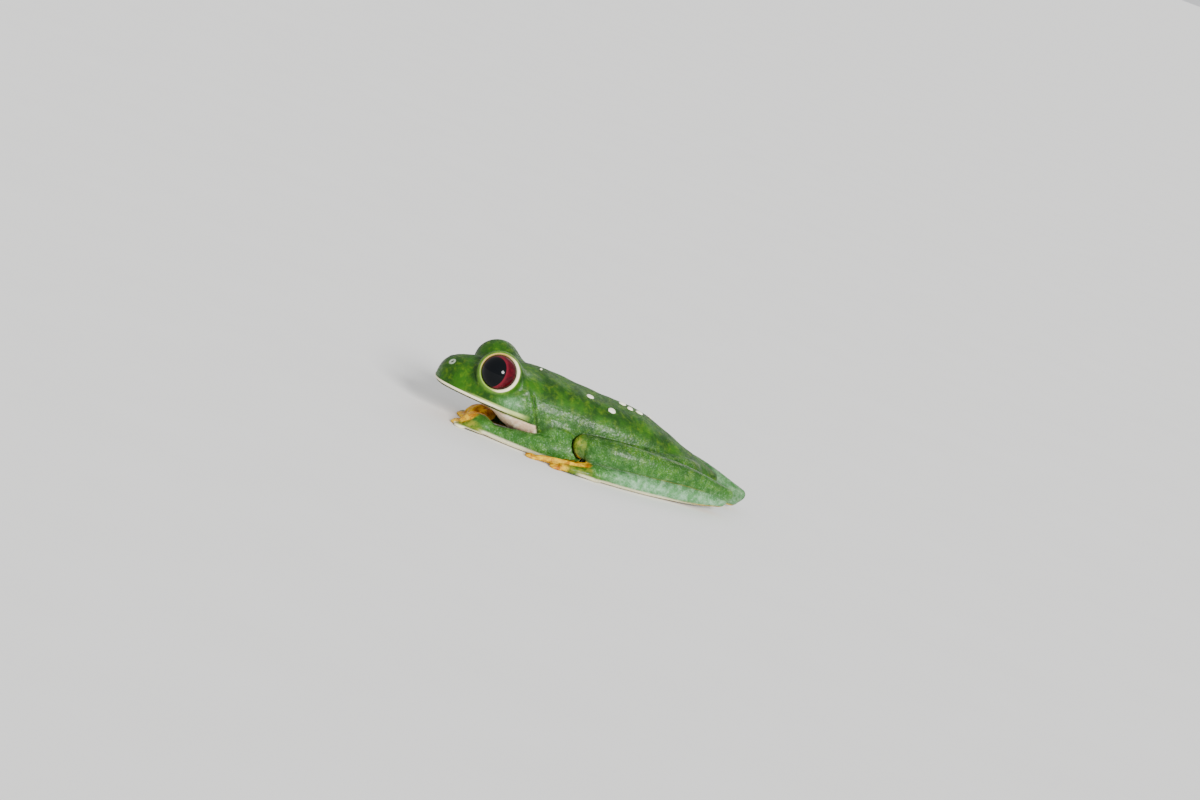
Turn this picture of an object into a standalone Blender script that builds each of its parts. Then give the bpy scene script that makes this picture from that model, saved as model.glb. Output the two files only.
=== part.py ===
"""Red-eyed tree frog at rest, life size, as closed solids that meet with thin gaps.

The frog crouches with every limb folded against its body. It faces -Y, its left side is +X and
the floor is Z = 0. The tables below are in millimetres, measured from the tip of the snout:
x to the frog's left, y back along the body, z up from the floor. The solids are built in
millimetres and scaled to metres at the end, with the origin at the bottom centre of the frog.
"""

import math

import bmesh
import bpy
import numpy as np
from mathutils import Matrix, Vector

MM = 0.001
GAP = 0.3  # clearance between neighbouring parts

# Head and trunk: y, half width, top, bottom, level of the widest point.
BODY = [
    (0.40, 1.80, 8.10, 5.45, 6.3),
    (0.75, 2.90, 9.10, 5.20, 6.1),
    (1.8, 4.10, 10.3, 5.00, 5.9),
    (4.5, 5.80, 11.4, 4.85, 5.7),
    (10.0, 7.90, 12.5, 4.40, 5.7),
    (13.5, 8.65, 13.05, 2.60, 6.0),
    (18.0, 8.40, 13.2, 0.90, 6.4),
    (23.0, 8.00, 12.8, 0.10, 6.8),
    (28.0, 7.90, 12.3, -0.30, 6.9),
    (33.0, 7.40, 12.0, -0.40, 6.8),
    (37.0, 6.70, 11.4, -0.40, 6.5),
    (41.0, 5.80, 10.0, -0.25, 5.9),
    (45.0, 4.90, 8.50, 0.20, 5.0),
    (49.0, 3.90, 7.10, 0.90, 4.4),
    (52.0, 2.40, 5.90, 2.00, 4.0),
]
BODY_SIDES = 22
BODY_STEPS = 2  # rings per stretch of the table
UPPER_FULLNESS = 2.15  # exponents of the cross-section; 2 is an ellipse
JAW_FULLNESS = 1.75  # below the widest point, at the snout
BELLY_FULLNESS = 2.2  # and from the neck back
SNOUT_CAP = 0.2  # how far the front of the snout and the rump bulge past the table
SNOUT_BLUNT = (0.6, 0.75)  # part of that bulge, and of the full section there
RUMP_CAP = 0.9

# The raised roof behind each eye: x, y, z, half width, half height.
BROW = [(5.5, 9.9, 10.6, 3.6, 3.6), (5.4, 12.4, 10.2, 3.1, 2.7), (4.9, 15.6, 9.4, 2.6, 2.4)]

# Cuts that part the head from the trunk and the lower jaw from the head.
NECK_POINT = (0.0, 17.5, 7.5)
NECK_SLANT = 26.0  # degrees, the top of the cut further forward
LIP_POINT = (0.0, 0.0, 5.75)
LIP_DROP = 1.7  # degrees, down towards the corner of the mouth

# Eyes
EYE_CENTRE = (5.6, 9.85, 11.05)
EYE_RADIUS = 3.3
EYE_CLEARANCE = 0.15
LID_RADIUS = 3.85
LID_OPENING = 3.2
GAZE_FORWARD = 10.0  # degrees that the lids' opening is turned forward
GAZE_UP = 18.0
LID_RINGS = (14, 8)  # faces around and down a lid
SOCKET_RINGS = (14, 6)
EYE_RINGS = (14, 8)

# Nostrils
NOSTRIL = (2.35, 1.95, 9.75)
NOSTRIL_RADIUS = 0.32
NOSTRIL_RINGS = (8, 6)

# Limbs of the left side: x, y, z, half width, half height.
UPPER_ARM = [(5.6, 20.3, 4.2, 1.9, 1.9), (7.4, 22.4, 3.8, 1.8, 1.9), (8.6, 25.0, 3.4, 1.6, 1.7)]
FOREARM = [
    (8.9, 26.2, 2.2, 1.55, 1.6),
    (8.8, 21.6, 2.1, 1.7, 1.85),
    (7.8, 16.4, 1.65, 1.45, 1.55),
    (6.6, 12.4, 1.3, 1.15, 1.15),
]
PALM = [(6.5, 12.0, 1.3, 1.15, 1.15), (5.9, 10.8, 1.6, 1.6, 1.3), (5.2, 9.7, 1.8, 1.7, 1.2)]
FINGERS = [
    [(3.8, 10.8, 2.0, 0.75, 0.75), (2.8, 10.0, 2.2, 0.75, 0.75), (1.9, 8.9, 1.5, 0.65, 0.6)],
    [(4.5, 10.0, 1.9, 0.8, 0.8), (3.7, 8.7, 2.3, 0.8, 0.8), (3.1, 7.4, 1.5, 0.65, 0.6)],
    [(5.3, 9.7, 1.7, 0.85, 0.85), (4.9, 8.2, 1.9, 0.85, 0.85), (4.4, 7.0, 1.2, 0.7, 0.6)],
    [(6.4, 10.0, 1.2, 0.85, 0.85), (6.4, 8.7, 1.0, 0.8, 0.75), (6.1, 7.5, 0.75, 0.65, 0.55)],
]
FINGER_DISCS = [(1.3, 7.9), (2.7, 6.4), (4.1, 6.0), (5.8, 6.5)]
THIGH = [
    (3.9, 47.2, 4.4, 1.9, 2.5),
    (5.2, 41.5, 4.6, 2.5, 2.6),
    (7.3, 34.5, 4.6, 2.2, 2.35),
    (9.1, 27.6, 4.45, 2.0, 2.2),
]
SHANK = [
    (10.3, 29.4, 4.6, 1.65, 2.3),
    (10.5, 33.0, 4.9, 1.9, 2.5),
    (9.6, 39.5, 5.15, 1.9, 2.2),
    (7.4, 47.0, 4.95, 1.5, 1.7),
    (5.0, 54.6, 3.75, 1.0, 1.1),
]
TARSUS = [(5.1, 53.6, 2.5, 1.1, 1.2), (6.6, 49.0, 2.15, 1.3, 1.6), (9.0, 42.2, 1.9, 1.4, 1.75)]
SOLE = [(9.0, 42.2, 1.85, 1.35, 1.65), (11.0, 36.0, 1.6, 1.75, 1.5), (12.0, 30.5, 1.35, 1.9, 1.25)]
TOES = [
    [(10.2, 32.4, 1.1, 0.75, 0.75), (9.3, 31.6, 0.9, 0.65, 0.65), (8.5, 31.2, 0.6, 0.55, 0.5)],
    [(10.4, 31.0, 1.2, 0.8, 0.8), (9.2, 29.8, 1.0, 0.7, 0.7), (8.2, 29.2, 0.6, 0.55, 0.5)],
    [(11.2, 30.4, 1.3, 0.85, 0.9), (10.5, 28.0, 1.2, 0.75, 0.8), (9.5, 26.6, 0.65, 0.6, 0.5)],
    [(12.0, 30.4, 1.2, 0.9, 0.9), (11.9, 25.5, 1.05, 0.75, 0.75), (11.4, 21.2, 0.65, 0.6, 0.5)],
    [(12.9, 30.8, 1.0, 0.85, 0.8), (13.4, 27.0, 0.85, 0.72, 0.68), (13.3, 24.9, 0.6, 0.6, 0.5)],
]
TOE_DISCS = [(7.8, 31.2), (7.4, 28.8), (8.7, 26.1), (11.0, 19.2), (13.0, 23.5)]
DISC = (0.28, 0.85, 0.42)  # height of the middle, half width and half thickness of a pad
DISC_NECK = 0.85  # width of a pad where the digit joins it, as a part of its full width

# How far the right limbs lie from where the left ones would be mirrored: out, back and up.
RIGHT_ELBOW = (0.0, 1.3, 0.0)
RIGHT_WRIST = (0.0, 1.3, 0.0)
RIGHT_KNEE = (0.0, 3.0, 0.0)
RIGHT_HEEL = (-1.6, 3.6, -0.8)

LIMB_SIDES = 10
DIGIT_SIDES = 6
LIMB_STEPS = 2
LIMB_END = (0.6,)  # where the rings of a round end lie, as a part of its radius
DIGIT_STEPS = 1
DIGIT_END = (0.6,)
FAR = 60.0  # reach of a block that cuts the whole frog
CREASE = 50.0  # degrees between faces that are shaded as an edge

# What each part of a limb is cut clear of, and what is let into the body.
CUT_BY = {
    "hand": [],
    "forearm": ["hand", "thigh", "foot"],
    "upper_arm": ["forearm", "thigh"],
    "foot": [],
    "tarsus": ["foot"],
    "shank": ["tarsus", "foot"],
    "thigh": ["shank", "tarsus", "foot"],
}
LETS_IN = {
    "trunk": ["upper_arm", "forearm", "thigh", "shank", "tarsus", "foot"],
    "lower_jaw": ["upper_arm", "forearm"],
}

SKIN_GREEN = (0.10, 0.27, 0.03)
EYE_RED = (0.25, 0.01, 0.02)


def material(name, colour, roughness):
    """A plain material of one colour."""
    made = bpy.data.materials.new(name)
    made.use_nodes = True
    shader = made.node_tree.nodes["Principled BSDF"]
    shader.inputs["Base Color"].default_value = (*colour, 1.0)
    shader.inputs["Roughness"].default_value = roughness
    shader.inputs["Metallic"].default_value = 0.0
    return made


def new_object(name, mesh):
    """An object of this mesh in the scene."""
    made = bpy.data.objects.new(name, mesh)
    bpy.context.scene.collection.objects.link(made)
    return made


def between(rows, steps):
    """The rows with a smooth curve through them, at `steps` rows to each stretch."""
    table = np.array(rows, float)
    ends = np.vstack([2 * table[0] - table[1], table, 2 * table[-1] - table[-2]])
    smooth = []
    for a, b, c, d in zip(ends, ends[1:], ends[2:], ends[3:]):
        for t in np.arange(steps) / steps:
            curve = 2 * b + (c - a) * t + (2 * a - 5 * b + 4 * c - d) * t**2
            smooth.append((curve + (3 * b - a - 3 * c + d) * t**3) / 2)
    smooth.append(table[-1])
    return np.array(smooth)


def loft(name, rings, first_pole, last_pole):
    """A closed skin over a row of rings, pinched to a point at each end and cut off by the floor."""
    bm = bmesh.new()
    rows = [[bm.verts.new((p[0], p[1], max(p[2], 0.0))) for p in ring] for ring in rings]
    for row, after in zip(rows, rows[1:]):
        for i in range(len(row)):
            j = (i + 1) % len(row)
            bm.faces.new((row[i], row[j], after[j], after[i]))
    for row, pole in ((rows[0][::-1], first_pole), (rows[-1], last_pole)):
        tip = bm.verts.new((pole[0], pole[1], max(pole[2], 0.0)))
        for i in range(len(row)):
            bm.faces.new((row[i], row[(i + 1) % len(row)], tip))
    bmesh.ops.recalc_face_normals(bm, faces=bm.faces)
    bmesh.ops.triangulate(bm, faces=bm.faces)
    mesh = bpy.data.meshes.new(name)
    bm.to_mesh(mesh)
    bm.free()
    return new_object(name, mesh)


def tube(name, stations, sides, steps, round_end, grow=0.0):
    """A limb: elliptical rings along a smooth line, with round ends. `grow` fattens it all over."""
    rows = between(stations, steps)
    centres = rows[:, :3]
    sizes = rows[:, 3:] + grow
    along = np.gradient(centres, axis=0)
    along /= np.linalg.norm(along, axis=1)[:, None]
    front, rear = sizes[0].min(), sizes[-1].min()
    places = [(centres[0] - along[0] * front * part, along[0], sizes[0], part) for part in round_end[::-1]]
    places += [(centre, way, size, 0.0) for centre, way, size in zip(centres, along, sizes)]
    places += [(centres[-1] + along[-1] * rear * part, along[-1], sizes[-1], part) for part in round_end]
    turns = 2 * math.pi * np.arange(sides) / sides
    rings = []
    for centre, way, size, part in places:
        side = np.cross(way, (0, 0, 1.0))
        side /= np.linalg.norm(side)
        up = np.cross(side, way)
        shrink = math.sqrt(1 - part * part)
        rings.append(
            [centre + shrink * (size[0] * math.cos(a) * side + size[1] * math.sin(a) * up) for a in turns]
        )
    return loft(name, rings, centres[0] - along[0] * front, centres[-1] + along[-1] * rear)


def body_ring(y, half_width, top, bottom, middle, scale=1.0):
    """One cross-section of head or trunk, fuller than an ellipse."""
    ring = []
    neck = min(max(y / NECK_POINT[1], 0.0), 1.0)  # 0 at the snout, 1 at the neck
    lower_fullness = JAW_FULLNESS + (BELLY_FULLNESS - JAW_FULLNESS) * neck
    for i in range(BODY_SIDES):
        a = 2 * math.pi * i / BODY_SIDES
        c, s = math.cos(a), math.sin(a)
        fullness = UPPER_FULLNESS if s >= 0 else lower_fullness
        x = math.copysign(abs(c) ** (2 / fullness), c) * half_width * scale
        height = (top - middle) if s >= 0 else (middle - bottom)
        z = middle + math.copysign(abs(s) ** (2 / fullness), s) * height * scale
        ring.append((x, y, z))
    return ring


def body():
    """Head and trunk in one, from the snout to the rump."""
    rows = between(BODY, BODY_STEPS)
    blunt_part, blunt_scale = SNOUT_BLUNT
    rings = [body_ring(rows[0][0] - SNOUT_CAP * blunt_part, *rows[0][1:], scale=blunt_scale)]
    rings += [body_ring(*row) for row in rows]
    rings += [
        body_ring(rows[-1][0] + RUMP_CAP * part, *rows[-1][1:], scale=math.sqrt(1 - part * part))
        for part in LIMB_END
    ]
    snout = (0.0, rows[0][0] - SNOUT_CAP, (BODY[0][2] + BODY[0][3]) / 2)
    rump = (0.0, rows[-1][0] + RUMP_CAP, (BODY[-1][2] + BODY[-1][3]) / 2)
    return loft("body", rings, snout, rump)


def box(name, low, high):
    """A block between two corners."""
    bm = bmesh.new()
    bmesh.ops.create_cube(bm, size=1.0)
    size = Vector(high) - Vector(low)
    bmesh.ops.scale(bm, vec=size, verts=bm.verts)
    bmesh.ops.translate(bm, vec=Vector(low) + size / 2, verts=bm.verts)
    mesh = bpy.data.meshes.new(name)
    bm.to_mesh(mesh)
    bm.free()
    return new_object(name, mesh)


def ball(name, centre, radius, axis, rings):
    """A sphere whose poles lie on `axis`, with so many faces around and down."""
    bm = bmesh.new()
    bmesh.ops.create_uvsphere(bm, u_segments=rings[0], v_segments=rings[1], radius=radius)
    turn = Vector((0, 0, 1)).rotation_difference(Vector(axis)).to_matrix().to_4x4()
    bmesh.ops.transform(bm, matrix=Matrix.Translation(centre) @ turn, verts=bm.verts)
    mesh = bpy.data.meshes.new(name)
    bm.to_mesh(mesh)
    bm.free()
    return new_object(name, mesh)


def copy(made, name):
    """A second object of the same shape."""
    return new_object(name, made.data.copy())


def combine(made, others, operation):
    """Unites `made` with the others, or cuts them away, and removes them."""
    for other in others:
        other.hide_render = True
        other.display_type = "WIRE"
        modifier = made.modifiers.new(other.name, "BOOLEAN")
        modifier.solver = "EXACT"
        modifier.operation = operation
        modifier.object = other
    bpy.context.view_layer.update()
    shaped = made.evaluated_get(bpy.context.evaluated_depsgraph_get())
    mesh = bpy.data.meshes.new_from_object(shaped)
    made.modifiers.clear()
    made.data = mesh
    for other in others:
        bpy.data.objects.remove(other)
    keep_largest(made)
    return made


def keep_largest(made):
    """Drops the crumbs that a cut leaves beside the main piece."""
    bm = bmesh.new()
    bm.from_mesh(made.data)
    left = set(bm.verts)
    pieces = []
    while left:
        piece = {left.pop()}
        edge = list(piece)
        while edge:
            near = {e.other_vert(v) for v in edge for e in v.link_edges} & left
            left -= near
            piece |= near
            edge = list(near)
        pieces.append(piece)
    largest = max(pieces, key=len)
    crumbs = [v for piece in pieces if piece is not largest for v in piece]
    bmesh.ops.delete(bm, geom=crumbs, context="VERTS")
    bm.to_mesh(made.data)
    bm.free()


def mirrored(rows):
    """Stations of the right side."""
    return [(-row[0], *row[1:]) for row in rows]


def leaned(rows, front, front_shift, rear, rear_shift):
    """Stations moved by one shift at y = `front`, by another at y = `rear`, and in proportion between."""
    moved = []
    for row in rows:
        part = min(max((row[1] - front) / (rear - front), 0.0), 1.0)
        shift = [a + (b - a) * part for a, b in zip(front_shift, rear_shift)]
        moved.append((*[value + step for value, step in zip(row[:3], shift)], *row[3:]))
    return moved


def digits(rows, discs):
    """Fingers or toes with the round pad at the tip."""
    height, half_width, half_thickness = DISC
    made = []
    for row, (x, y) in zip(rows, discs):
        neck = row[-1]
        near = ((x + neck[0]) / 2, (y + neck[1]) / 2, height, half_width * DISC_NECK, half_thickness)
        made.append([*row, near, (x, y, height, half_width, half_thickness)])
    return made


def limb_tables(side):
    """Every limb's stations on one side, by name: a list of tubes for each."""
    arm = {
        "upper_arm": [UPPER_ARM],
        "forearm": [FOREARM],
        "hand": [PALM, *digits(FINGERS, FINGER_DISCS)],
    }
    leg = {
        "shank": [SHANK],
        "tarsus": [TARSUS],
        "foot": [SOLE, *digits(TOES, TOE_DISCS)],
    }
    if side == "left":
        return {**arm, "thigh": [THIGH], **leg}
    still = (0.0, 0.0, 0.0)
    shoulder, elbow = UPPER_ARM[0][1], UPPER_ARM[-1][1]
    knee, heel = SHANK[0][1], SHANK[-1][1]
    arm["upper_arm"] = [leaned(UPPER_ARM, shoulder, still, elbow, RIGHT_ELBOW)]
    for name in ("forearm", "hand"):
        arm[name] = [leaned(rows, shoulder, RIGHT_WRIST, elbow, RIGHT_ELBOW) for rows in arm[name]]
    leg = {
        name: [leaned(rows, knee, RIGHT_KNEE, heel, RIGHT_HEEL) for rows in tubes]
        for name, tubes in leg.items()
    }
    thigh = leaned(THIGH, THIGH[-1][1], RIGHT_KNEE, THIGH[0][1], still)
    tables = {**arm, "thigh": [thigh], **leg}
    return {name: [mirrored(rows) for rows in tubes] for name, tubes in tables.items()}


def limb(name, tubes, grow=0.0):
    """One part of a limb: its first tube, with the digits joined to it if it has them."""
    first = tube(name, tubes[0], LIMB_SIDES, LIMB_STEPS, LIMB_END, grow)
    rest = [tube(f"{name}_digit", rows, DIGIT_SIDES, DIGIT_STEPS, DIGIT_END, grow) for rows in tubes[1:]]
    if rest:
        combine(first, rest, "UNION")
    return first


def eye_axis(side):
    """The way the lids of one side open."""
    forward, up = math.radians(GAZE_FORWARD), math.radians(GAZE_UP)
    out = math.cos(up) * math.cos(forward)
    return (side * out, -math.cos(up) * math.sin(forward), math.sin(up))


def eye_place(side):
    """The middle of the eye of one side."""
    return (side * EYE_CENTRE[0], EYE_CENTRE[1], EYE_CENTRE[2])


def add_brows(head):
    """Fills out the head behind the eyes, as far as the neck."""
    for rows in (BROW, mirrored(BROW)):
        brow = tube("brow", rows, LIMB_SIDES, LIMB_STEPS, LIMB_END)
        combine(brow, [behind_neck("neck_cut", -GAP / 2)], "DIFFERENCE")
        combine(head, [brow], "UNION")


def eye_socket(place, axis):
    """The hollow round an eyeball and the round way out between the lids, as one turned shape."""
    radius = EYE_RADIUS + EYE_CLEARANCE
    around, down = SOCKET_RINGS
    front = math.pi - math.asin(LID_OPENING / radius)
    bends = [front * (i + 1) / down for i in range(down)]
    turned = [(radius * math.sin(bend), -radius * math.cos(bend)) for bend in bends]
    turned.append((LID_OPENING, 2 * LID_RADIUS))
    centre, axis = Vector(place), Vector(axis)
    across = axis.orthogonal().normalized()
    over = axis.cross(across)
    turns = [2 * math.pi * (i + 0.5) / around for i in range(around)]
    spokes = [across * math.cos(a) + over * math.sin(a) for a in turns]
    rings = [[centre + axis * height + spoke * width for spoke in spokes] for width, height in turned]
    return loft("socket", rings, centre - axis * radius, centre + axis * 2 * LID_RADIUS)


def add_eye_sockets(head):
    """Raises the lids on the head and hollows out the sockets, open at the lids."""
    for side in (1, -1):
        axis, place = eye_axis(side), eye_place(side)
        combine(head, [ball("lid", place, LID_RADIUS, axis, LID_RINGS)], "UNION")
        combine(head, [eye_socket(place, axis)], "DIFFERENCE")


def add_nostrils(head):
    """Two small pits near the tip of the snout."""
    for side in (1, -1):
        place = (side * NOSTRIL[0], NOSTRIL[1], NOSTRIL[2])
        pit = ball("nostril", place, NOSTRIL_RADIUS, (side, 0, 0), NOSTRIL_RINGS)
        combine(head, [pit], "DIFFERENCE")


def behind_neck(name, shift):
    """All of space behind the neck's slanted plane, moved back by `shift`."""
    block = box(name, (-FAR, shift, -FAR), (FAR, 2 * FAR, FAR))
    slant = Matrix.Rotation(math.radians(NECK_SLANT), 4, "X")
    block.data.transform(Matrix.Translation(NECK_POINT) @ slant)
    return block


def above_lip(name, shift):
    """All of space above the slit of the mouth, moved up by `shift`."""
    block = box(name, (-FAR, -FAR, shift), (FAR, FAR, FAR))
    slant = Matrix.Rotation(math.radians(-LIP_DROP), 4, "X")
    block.data.transform(Matrix.Translation(LIP_POINT) @ slant)
    return block


def head_and_trunk():
    """The head, lower jaw and trunk, before the limbs are let into them."""
    trunk = body()
    front = copy(trunk, "front")
    combine(trunk, [behind_neck("rear_half", GAP / 2)], "INTERSECT")
    combine(front, [behind_neck("neck_cut", -GAP / 2)], "DIFFERENCE")
    lower_jaw = copy(front, "lower_jaw")
    combine(lower_jaw, [above_lip("mouth_cut", -GAP / 2)], "DIFFERENCE")
    head = copy(front, "head")
    combine(head, [above_lip("upper_half", GAP / 2)], "INTERSECT")
    bpy.data.objects.remove(front)
    add_brows(head)
    add_eye_sockets(head)
    add_nostrils(head)
    trunk.name = "trunk"
    return head, lower_jaw, trunk


def limbs(side, body_parts):
    """The limbs of one side, each cut clear of its neighbours and let into the body."""
    tables = limb_tables(side)
    made = []
    for name, neighbours in CUT_BY.items():
        part = limb(f"{name}_{side}", tables[name])
        if neighbours:
            cutters = [limb(f"{other}_cut", tables[other], GAP) for other in neighbours]
            combine(part, cutters, "DIFFERENCE")
        made.append(part)
    for part in body_parts:
        for other in LETS_IN.get(part.name, []):
            combine(part, [limb(f"{other}_cut", tables[other], GAP)], "DIFFERENCE")
    return made


def place_all(parts):
    """Scales the parts to metres and puts the origin at the bottom centre of them all."""
    corners = np.array([v.co[:] for part in parts for v in part.data.vertices])
    low, high = corners.min(axis=0), corners.max(axis=0)
    middle = ((low[0] + high[0]) / 2, (low[1] + high[1]) / 2, low[2])
    for part in parts:
        shift = Matrix.Translation([-c for c in middle])
        part.data.transform(Matrix.Scale(MM, 4) @ shift)


def main():
    for old in list(bpy.data.objects):
        bpy.data.objects.remove(old)
    head, lower_jaw, trunk = head_and_trunk()
    parts = [head, lower_jaw, trunk]
    for side in ("left", "right"):
        parts += limbs(side, [head, lower_jaw, trunk])
    skin = material("skin", SKIN_GREEN, 0.4)
    for part in parts:
        part.data.materials.clear()
        part.data.materials.append(skin)
    iris = material("eye", EYE_RED, 0.1)
    for side, name in ((1, "eye_left"), (-1, "eye_right")):
        eye = ball(name, eye_place(side), EYE_RADIUS, eye_axis(side), EYE_RINGS)
        eye.data.materials.append(iris)
        parts.append(eye)
    for part in parts:
        part.data.shade_smooth()
        part.data.set_sharp_from_angle(angle=math.radians(CREASE))
    place_all(parts)


main()
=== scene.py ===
"""The looks of the red-eyed tree frog: one moist skin over every part of flesh, and glossy eyes.

The frog is shaped from the same tables as its CAD solids, in millimetres from the tip of the snout:
x to the frog's left, y back along the body, z up from the floor. Each shape becomes a field of
distances on one grid. The fields are blended with fillets, the folds are carved into the result,
and its surface is the skin.
"""

import math

import bmesh
import bpy
import numpy as np
import openvdb
from mathutils import Matrix, Vector


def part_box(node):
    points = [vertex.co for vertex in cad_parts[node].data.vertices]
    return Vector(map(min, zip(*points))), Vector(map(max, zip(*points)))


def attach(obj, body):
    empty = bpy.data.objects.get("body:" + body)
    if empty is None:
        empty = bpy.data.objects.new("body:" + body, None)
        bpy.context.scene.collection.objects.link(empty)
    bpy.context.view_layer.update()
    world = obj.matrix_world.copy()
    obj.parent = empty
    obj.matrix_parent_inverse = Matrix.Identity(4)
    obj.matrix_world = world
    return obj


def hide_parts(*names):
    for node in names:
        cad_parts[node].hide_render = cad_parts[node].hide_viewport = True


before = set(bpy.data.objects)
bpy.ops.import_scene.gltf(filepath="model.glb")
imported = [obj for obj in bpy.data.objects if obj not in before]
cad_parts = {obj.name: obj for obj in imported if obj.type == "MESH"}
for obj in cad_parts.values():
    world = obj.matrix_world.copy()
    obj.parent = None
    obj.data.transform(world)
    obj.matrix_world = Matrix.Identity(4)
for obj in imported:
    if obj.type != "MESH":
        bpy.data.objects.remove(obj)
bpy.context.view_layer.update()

MM = 0.001

# ---- the frog's own shape, in mm

# Head and trunk: y, half width, top, bottom, level of the widest point.
BODY = [
    (0.40, 1.80, 8.10, 5.45, 6.3),
    (0.75, 2.90, 9.10, 5.20, 6.1),
    (1.8, 4.10, 10.3, 5.00, 5.9),
    (4.5, 5.80, 11.4, 4.85, 5.7),
    (10.0, 7.90, 12.5, 4.40, 5.7),
    (13.5, 8.65, 13.05, 2.60, 6.0),
    (18.0, 8.40, 13.2, 0.90, 6.4),
    (23.0, 8.00, 12.8, 0.10, 6.8),
    (28.0, 7.90, 12.3, -0.30, 6.9),
    (33.0, 7.40, 12.0, -0.40, 6.8),
    (37.0, 6.70, 11.4, -0.40, 6.5),
    (41.0, 5.80, 10.0, -0.25, 5.9),
    (45.0, 4.90, 8.50, 0.20, 5.0),
    (49.0, 3.90, 7.10, 0.90, 4.4),
    (52.0, 2.40, 5.90, 2.00, 4.0),
]
UPPER_FULLNESS = 2.15  # exponents of the cross-section; 2 is an ellipse
JAW_FULLNESS = 1.75  # below the widest point, at the snout
BELLY_FULLNESS = 2.2  # and from the neck back
NECK = 17.5  # where the head ends
SNOUT_CAP = 0.2
RUMP_CAP = 0.9

# The raised roof behind each eye: x, y, z, half width, half height.
BROW = [(5.5, 9.9, 10.6, 3.6, 3.6), (5.4, 12.4, 10.2, 3.1, 2.7), (4.9, 15.6, 9.4, 2.6, 2.4)]

# Limbs of the left side: x, y, z, half width, half height.
UPPER_ARM = [(5.6, 20.3, 4.2, 1.9, 1.9), (7.4, 22.4, 3.8, 1.8, 1.9), (8.6, 25.0, 3.4, 1.6, 1.7)]
FOREARM = [
    (8.9, 26.2, 2.2, 1.55, 1.6),
    (8.8, 21.6, 2.1, 1.7, 1.85),
    (7.8, 16.4, 1.65, 1.45, 1.55),
    (6.6, 12.4, 1.3, 1.15, 1.15),
]
PALM = [(6.5, 12.0, 1.3, 1.15, 1.15), (5.9, 10.8, 1.6, 1.6, 1.3), (5.2, 9.7, 1.8, 1.7, 1.2)]
FINGERS = [
    [(3.8, 10.8, 2.0, 0.75, 0.75), (2.8, 10.0, 2.2, 0.75, 0.75), (1.9, 8.9, 1.5, 0.65, 0.6)],
    [(4.5, 10.0, 1.9, 0.8, 0.8), (3.7, 8.7, 2.3, 0.8, 0.8), (3.1, 7.4, 1.5, 0.65, 0.6)],
    [(5.3, 9.7, 1.7, 0.85, 0.85), (4.9, 8.2, 1.9, 0.85, 0.85), (4.4, 7.0, 1.2, 0.7, 0.6)],
    [(6.4, 10.0, 1.2, 0.85, 0.85), (6.4, 8.7, 1.0, 0.8, 0.75), (6.1, 7.5, 0.75, 0.65, 0.55)],
]
FINGER_DISCS = [(1.3, 7.9), (2.7, 6.4), (4.1, 6.0), (5.8, 6.5)]
THIGH = [
    (3.9, 47.2, 4.4, 1.9, 2.5),
    (5.2, 41.5, 4.6, 2.5, 2.6),
    (7.3, 34.5, 4.6, 2.2, 2.35),
    (9.1, 27.6, 4.45, 2.0, 2.2),
]
SHANK = [
    (10.3, 29.4, 4.6, 1.65, 2.3),
    (10.5, 33.0, 4.9, 1.9, 2.5),
    (9.6, 39.5, 5.15, 1.9, 2.2),
    (7.4, 47.0, 4.95, 1.5, 1.7),
    (5.0, 54.6, 3.75, 1.0, 1.1),
]
TARSUS = [(5.1, 53.6, 2.5, 1.1, 1.2), (6.6, 49.0, 2.15, 1.3, 1.6), (9.0, 42.2, 1.9, 1.4, 1.75)]
SOLE = [(9.0, 42.2, 1.85, 1.35, 1.65), (11.0, 36.0, 1.6, 1.75, 1.5), (12.0, 30.5, 1.35, 1.9, 1.25)]
TOES = [
    [(10.2, 32.4, 1.1, 0.75, 0.75), (9.3, 31.6, 0.9, 0.65, 0.65), (8.5, 31.2, 0.6, 0.55, 0.5)],
    [(10.4, 31.0, 1.2, 0.8, 0.8), (9.2, 29.8, 1.0, 0.7, 0.7), (8.2, 29.2, 0.6, 0.55, 0.5)],
    [(11.2, 30.4, 1.3, 0.85, 0.9), (10.5, 28.0, 1.2, 0.75, 0.8), (9.5, 26.6, 0.65, 0.6, 0.5)],
    [(12.0, 30.4, 1.2, 0.9, 0.9), (11.9, 25.5, 1.05, 0.75, 0.75), (11.4, 21.2, 0.65, 0.6, 0.5)],
    [(12.9, 30.8, 1.0, 0.85, 0.8), (13.4, 27.0, 0.85, 0.72, 0.68), (13.3, 24.9, 0.6, 0.6, 0.5)],
]
TOE_DISCS = [(7.8, 31.2), (7.4, 28.8), (8.7, 26.1), (11.0, 19.2), (13.0, 23.5)]
DISC = (0.28, 0.85, 0.42)  # height of the middle, half width and half thickness of a pad
DISC_NECK = 0.85  # width of a pad where the digit joins it, as a part of its full width
PAD_RADIUS = 0.98  # of the round pads of the skin
PAD_FILLET = 0.3

# How far the right limbs lie from where the left ones would be mirrored: out, back and up.
RIGHT_ELBOW = (0.0, 1.3, 0.0)
RIGHT_WRIST = (0.0, 1.3, 0.0)
RIGHT_KNEE = (0.0, 3.0, 0.0)
RIGHT_HEEL = (-1.6, 3.6, -0.8)

# Eyes and lids
EYE_CENTRE = (5.6, 9.85, 11.05)
EYE_RADIUS = 3.3
LID_RADIUS = 3.85
GAZE_FORWARD = 10.0  # degrees that the lids' opening is turned forward
GAZE_UP = 18.0
LID_LEVEL = 1.15  # how far out from the middle of the eye the rim of the lids lies
RIM_RADIUS = 3.28  # of the circle that the rim runs along
RIM_THICKNESS = 0.21  # of the round rim itself, halved
LID_SLOPE = 24.0  # degrees that the lids rise away from the rim
LID_FILLETS = (0.7, 1.6)  # in front of the eye and behind it

# Nostrils
NOSTRIL = (2.35, 1.95, 9.75)
NOSTRIL_SIZE = 0.26
NOSTRIL_RIM = 0.16

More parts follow.
